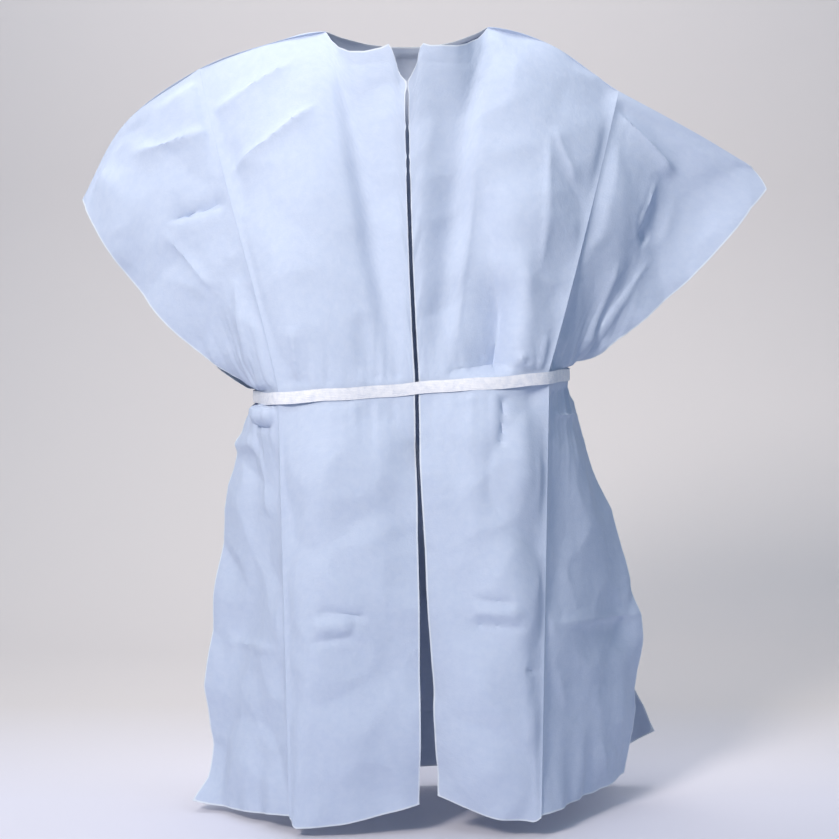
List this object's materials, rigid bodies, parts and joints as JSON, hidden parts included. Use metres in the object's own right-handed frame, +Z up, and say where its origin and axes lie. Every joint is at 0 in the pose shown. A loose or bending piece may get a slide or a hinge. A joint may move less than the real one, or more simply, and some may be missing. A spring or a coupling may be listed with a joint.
{
  "type": "patient gown",
  "caption": "Loose paper exam gown on a standing wearer: wide cap sleeves, front slit with a small neck notch, open sides, and a flat strip belt tied behind.",
  "frame": {"origin": "the wearer's neck, midway between the neck ends of the two shoulder folds", "axes": "+Z up, +Y to the wearer's back, +X to the wearer's left"},
  "size_m": [0.9132, 0.3208, 1.055],
  "materials": {
    "tissue_sheet": "matt light blue tissue and film laminate with a fine creped surface",
    "belt_strip": "soft white plastic film strip with a satin surface"
  },
  "bodies": {
    "root": {"back_panel": "tissue_sheet", "belt_end_left": "belt_strip", "belt_end_right": "belt_strip", "belt_front": "belt_strip", "belt_knot": "belt_strip", "chest_panel_left": "tissue_sheet", "chest_panel_right": "tissue_sheet", "gather_back_left": "tissue_sheet", "gather_back_right": "tissue_sheet", "gather_front_left": "tissue_sheet", "gather_front_right": "tissue_sheet", "skirt_back": "tissue_sheet", "skirt_front_left": "tissue_sheet", "skirt_front_right": "tissue_sheet", "sleeve_back_left": "tissue_sheet", "sleeve_back_right": "tissue_sheet", "sleeve_front_left": "tissue_sheet", "sleeve_front_right": "tissue_sheet"},
    "lapel_left": {"lapel_left": "tissue_sheet"},
    "flap_left": {"flap_left": "tissue_sheet"},
    "side_front_left": {"skirt_side_front_left": "tissue_sheet"},
    "side_back_left": {"skirt_side_back_left": "tissue_sheet"},
    "tail_left": {"belt_tail_left": "belt_strip"},
    "lapel_right": {"lapel_right": "tissue_sheet"},
    "flap_right": {"flap_right": "tissue_sheet"},
    "side_front_right": {"skirt_side_front_right": "tissue_sheet"},
    "side_back_right": {"skirt_side_back_right": "tissue_sheet"},
    "tail_right": {"belt_tail_right": "belt_strip"}
  },
  "joints": [
    {"name": "lapel_fold_left", "type": "hinge", "parent": "root", "child": "lapel_left", "pos_m": [0.051, -0.09825, -0.25072], "axis": [0.0762, 0.1536, 0.9852], "range_deg": [0, 75]},
    {"name": "flap_fold_left", "type": "hinge", "parent": "root", "child": "flap_left", "pos_m": [0.09, -0.14525, -0.76172], "axis": [-0.202, 0.046, 0.9783], "range_deg": [-8, 90]},
    {"name": "front_crease_left", "type": "hinge", "parent": "root", "child": "side_front_left", "pos_m": [0.17606, -0.1393, -0.78048], "axis": [0.0197, 0.0804, 0.9966], "range_deg": [-50, 6]},
    {"name": "back_crease_left", "type": "hinge", "parent": "root", "child": "side_back_left", "pos_m": [0.1762, 0.12348, -0.78286], "axis": [-0.0533, -0.1101, 0.9925], "range_deg": [-6, 50]},
    {"name": "tail_swing_left", "type": "hinge", "parent": "root", "child": "tail_left", "pos_m": [0.0088, 0.12, -0.4965], "axis": [1, 0, 0], "range_deg": [0, 75]},
    {"name": "lapel_fold_right", "type": "hinge", "parent": "root", "child": "lapel_right", "pos_m": [-0.0465, -0.09825, -0.2561], "axis": [-0.1369, 0.1537, 0.9786], "range_deg": [-75, 0]},
    {"name": "flap_fold_right", "type": "hinge", "parent": "root", "child": "flap_right", "pos_m": [-0.074, -0.14525, -0.7676], "axis": [0.2073, 0.0456, 0.9772], "range_deg": [-90, 8]},
    {"name": "front_crease_right", "type": "hinge", "parent": "root", "child": "side_front_right", "pos_m": [-0.16344, -0.13142, -0.79536], "axis": [-0.0261, 0.0428, 0.9987], "range_deg": [-6, 50]},
    {"name": "back_crease_right", "type": "hinge", "parent": "root", "child": "side_back_right", "pos_m": [-0.17188, 0.1224, -0.7939], "axis": [0.0408, -0.1114, 0.9929], "range_deg": [-50, 6]},
    {"name": "tail_swing_right", "type": "hinge", "parent": "root", "child": "tail_right", "pos_m": [-0.0088, 0.12, -0.4965], "axis": [1, 0, 0], "range_deg": [0, 75]}
  ]
}
